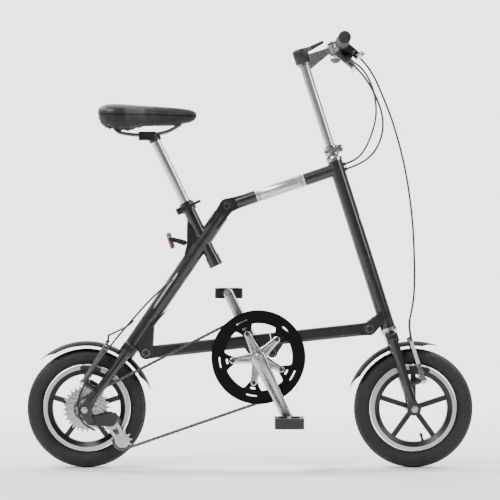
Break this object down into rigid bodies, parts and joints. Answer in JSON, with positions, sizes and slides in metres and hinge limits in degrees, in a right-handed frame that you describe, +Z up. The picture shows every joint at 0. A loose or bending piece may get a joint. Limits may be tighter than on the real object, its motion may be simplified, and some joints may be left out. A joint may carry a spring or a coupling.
{
  "type": "folding bicycle",
  "caption": "Compact folding bicycle with a scissor frame of hinged lower links, cast small wheels, telescopic stem and seat post, folding bars and folding pedals.",
  "frame": {"origin": "on the ground under the middle of the wheelbase, in the plane of the wheels", "axes": "+X forward, +Y to the rider's left, +Z up"},
  "size_m": [1.132, 0.546, 1.0847],
  "materials": {
    "black_paint": "satin black enamel",
    "silver_alloy": "polished alloy",
    "bright_steel": "nickel plated",
    "dark_steel": "blued steel",
    "tyre_rubber": "matt black tread",
    "soft_rubber": "matt moulded rubber",
    "black_plastic": "moulded, fine grain",
    "gloss_black_plastic": "glossy moulded",
    "wheel_casting": "black casting with machined brake track",
    "saddle_cover": "soft grained cover over foam",
    "red_lens": "prismatic lens",
    "cable_jacket": "black jacket"
  },
  "bodies": {
    "front_frame": {"head_tube": "black_paint", "top_tube": "black_paint", "headset": "silver_alloy", "frame_hinge_pins": "bright_steel", "rear_brake_cable": "cable_jacket", "shift_cable": "cable_jacket"},
    "fork": {"fork": "black_paint", "steering_collar": "silver_alloy", "front_mudguard": "gloss_black_plastic", "front_axle": "bright_steel", "front_brake_cable": "cable_jacket"},
    "steering_collar_lever": {"steering_collar_lever": "silver_alloy"},
    "front_wheel": {"front_wheel": "wheel_casting", "front_tyre": "tyre_rubber"},
    "front_brake_left": {"front_brake_arm_left": "silver_alloy"},
    "front_brake_right": {"front_brake_arm_right": "silver_alloy"},
    "stem": {"stem_post": "silver_alloy", "stem_head": "silver_alloy"},
    "stem_head_lever": {"stem_head_lever": "black_plastic"},
    "bar_left": {"handlebar_left": "silver_alloy", "grip_left": "soft_rubber", "brake_perch_left": "black_plastic"},
    "bar_right": {"handlebar_right": "silver_alloy", "grip_right": "soft_rubber", "brake_perch_right": "black_plastic"},
    "brake_lever_left": {"brake_lever_left": "silver_alloy"},
    "brake_lever_right": {"brake_lever_right": "silver_alloy"},
    "front_link": {"front_link": "black_paint"},
    "rear_link": {"rear_link": "black_paint", "link_pins": "bright_steel", "bottom_bracket": "dark_steel"},
    "rear_frame": {"main_tube": "black_paint", "seat_tube": "black_paint", "rear_stays": "black_paint", "seat_clamp": "black_paint", "reflector": "red_lens", "rear_mudguard": "gloss_black_plastic", "rear_axle": "bright_steel", "derailleur_body": "black_plastic", "chain": "dark_steel"},
    "rear_brake_left": {"rear_brake_arm_left": "silver_alloy"},
    "rear_brake_right": {"rear_brake_arm_right": "silver_alloy"},
    "seat_clamp_lever": {"seat_clamp_lever": "silver_alloy"},
    "seat_shim": {"seat_shim": "black_plastic"},
    "seat": {"seat_post": "silver_alloy", "saddle_clamp": "dark_steel", "saddle": "saddle_cover"},
    "rear_wheel": {"rear_wheel": "wheel_casting", "rear_tyre": "tyre_rubber"},
    "cassette": {"cassette": "bright_steel"},
    "derailleur_cage": {"derailleur_cage": "silver_alloy"},
    "crankset": {"crank_spindle": "bright_steel", "crank_right": "silver_alloy", "crank_left": "silver_alloy", "chainring": "dark_steel", "chain_guard": "gloss_black_plastic"},
    "pedal_left": {"pedal_sleeve_left": "black_plastic"},
    "pedal_right": {"pedal_sleeve_right": "black_plastic"},
    "platform_left": {"pedal_platform_left": "black_plastic"},
    "platform_right": {"pedal_platform_right": "black_plastic"}
  },
  "joints": [
    {"name": "fold", "type": "hinge", "parent": "front_frame", "child": "front_link", "pos_m": [0.303, 0, 0.3528], "axis": [0, 1, 0], "range_deg": [0, 77], "deforming": ["chain", "rear_brake_cable", "shift_cable"]},
    {"name": "mid_hinge", "type": "hinge", "parent": "front_link", "child": "rear_link", "pos_m": [0.0563, 0, 0.2932], "axis": [0, -1, 0], "range_deg": [0, 152]},
    {"name": "rear_hinge", "type": "hinge", "parent": "rear_link", "child": "rear_frame", "pos_m": [-0.2634, 0, 0.2919], "axis": [0, 1, 0], "range_deg": [0, 23.5]},
    {"name": "steering", "type": "hinge", "parent": "front_frame", "child": "fork", "pos_m": [0.3508, 0, 0.355], "axis": [-0.304, 0, 0.9527], "range_deg": [-50, 50], "deforming": ["front_brake_cable"]},
    {"name": "front_wheel_spin", "type": "hinge", "parent": "fork", "child": "front_wheel", "pos_m": [0.415, 0, 0.151], "axis": [0, 1, 0], "continuous": true},
    {"name": "steering_collar_release", "type": "hinge", "parent": "fork", "child": "steering_collar_lever", "pos_m": [0.22921, -0.0265, 0.81165], "axis": [-0.304, 0, 0.9527], "range_deg": [0, 110]},
    {"name": "stem_slide", "type": "slide", "parent": "fork", "child": "stem", "axis": [0.304, 0, -0.9527], "range_m": [0, 0.16]},
    {"name": "stem_head_release", "type": "hinge", "parent": "stem", "child": "stem_head_lever", "pos_m": [0.1518, 0, 1.06406], "axis": [0, -1, 0], "range_deg": [0, 80]},
    {"name": "bar_left_fold", "type": "hinge", "parent": "stem", "child": "bar_left", "pos_m": [0.21153, 0.026, 1.06108], "axis": [-0.304, 0, 0.9527], "range_deg": [0, 90]},
    {"name": "bar_right_fold", "type": "hinge", "parent": "stem", "child": "bar_right", "pos_m": [0.21153, -0.026, 1.06108], "axis": [0.304, 0, -0.9527], "range_deg": [0, 90]},
    {"name": "brake_lever_left_squeeze", "type": "hinge", "parent": "bar_left", "child": "brake_lever_left", "pos_m": [0.26392, 0.13, 1.03699], "axis": [0.6428, 0, 0.766], "range_deg": [0, 20], "stiffness_Nm_per_rad": 3},
    {"name": "brake_lever_right_squeeze", "type": "hinge", "parent": "bar_right", "child": "brake_lever_right", "pos_m": [0.26392, -0.13, 1.03699], "axis": [-0.6428, 0, -0.766], "range_deg": [0, 20], "stiffness_Nm_per_rad": 3},
    {"name": "front_brake_left_close", "type": "hinge", "parent": "fork", "child": "front_brake_left", "pos_m": [0.438, 0.04, 0.224], "axis": [0.9527, 0, 0.304], "range_deg": [0, 1.9]},
    {"name": "front_brake_right_close", "type": "hinge", "parent": "fork", "child": "front_brake_right", "pos_m": [0.438, -0.04, 0.224], "axis": [-0.9527, 0, -0.304], "range_deg": [0, 1.9]},
    {"name": "rear_brake_left_close", "type": "hinge", "parent": "rear_frame", "child": "rear_brake_left", "pos_m": [-0.419, 0.057, 0.219], "axis": [0.866, 0, -0.5], "range_deg": [0, 1.9]},
    {"name": "rear_brake_right_close", "type": "hinge", "parent": "rear_frame", "child": "rear_brake_right", "pos_m": [-0.419, -0.057, 0.219], "axis": [-0.866, 0, 0.5], "range_deg": [0, 1.9]},
    {"name": "rear_wheel_spin", "type": "hinge", "parent": "rear_frame", "child": "rear_wheel", "pos_m": [-0.415, 0, 0.151], "axis": [0, 1, 0], "continuous": true},
    {"name": "cassette_spin", "type": "hinge", "parent": "rear_frame", "child": "cassette", "pos_m": [-0.415, 0, 0.151], "axis": [0, 1, 0], "continuous": true},
    {"name": "crank_spin", "type": "hinge", "parent": "rear_link", "child": "crankset", "pos_m": [0.0211, 0, 0.2823], "axis": [0, 1, 0], "continuous": true, "deforming": ["chain"]},
    {"name": "pedal_left_spin", "type": "hinge", "parent": "crankset", "child": "pedal_left", "pos_m": [-0.05507, 0.08, 0.43986], "axis": [0, 1, 0], "continuous": true},
    {"name": "pedal_right_spin", "type": "hinge", "parent": "crankset", "child": "pedal_right", "pos_m": [0.09727, -0.08, 0.12474], "axis": [0, 1, 0], "continuous": true},
    {"name": "pedal_left_fold", "type": "hinge", "parent": "pedal_left", "child": "platform_left", "pos_m": [-0.05507, 0.092, 0.43986], "axis": [1, 0, 0], "range_deg": [0, 90]},
    {"name": "pedal_right_fold", "type": "hinge", "parent": "pedal_right", "child": "platform_right", "pos_m": [0.09727, -0.092, 0.12474], "axis": [-1, 0, 0], "range_deg": [0, 90]},
    {"name": "derailleur_cage_swing", "type": "hinge", "parent": "rear_frame", "child": "derailleur_cage", "pos_m": [-0.352, 0, 0.119], "axis": [0, 1, 0], "range_deg": [0, 50]},
    {"name": "seat_clamp_release", "type": "hinge", "parent": "rear_frame", "child": "seat_clamp_lever", "pos_m": [-0.1806, -0.0285, 0.65037], "axis": [0.4375, 0, -0.8992], "range_deg": [0, 110]},
    {"name": "seat_turn", "type": "hinge", "parent": "rear_frame", "child": "seat_shim", "pos_m": [-0.1625, 0, 0.6703], "axis": [-0.4375, 0, 0.8992], "range_deg": [0, 180]},
    {"name": "seat_slide", "type": "slide", "parent": "seat_shim", "child": "seat", "axis": [0.4375, 0, -0.8992], "range_m": [0, 0.17]}
  ],
  "couplings": [
    {"joint": "mid_hinge", "follows": "fold", "ratio": 1.9649},
    {"joint": "rear_hinge", "follows": "fold", "ratio": 0.2987},
    {"joint": "front_brake_left_close", "follows": "brake_lever_right_squeeze", "ratio": 0.095},
    {"joint": "front_brake_right_close", "follows": "brake_lever_right_squeeze", "ratio": 0.095},
    {"joint": "rear_brake_left_close", "follows": "brake_lever_left_squeeze", "ratio": 0.095},
    {"joint": "rear_brake_right_close", "follows": "brake_lever_left_squeeze", "ratio": 0.095},
    {"joint": "cassette_spin", "follows": "crank_spin", "ratio": 4.1538}
  ]
}
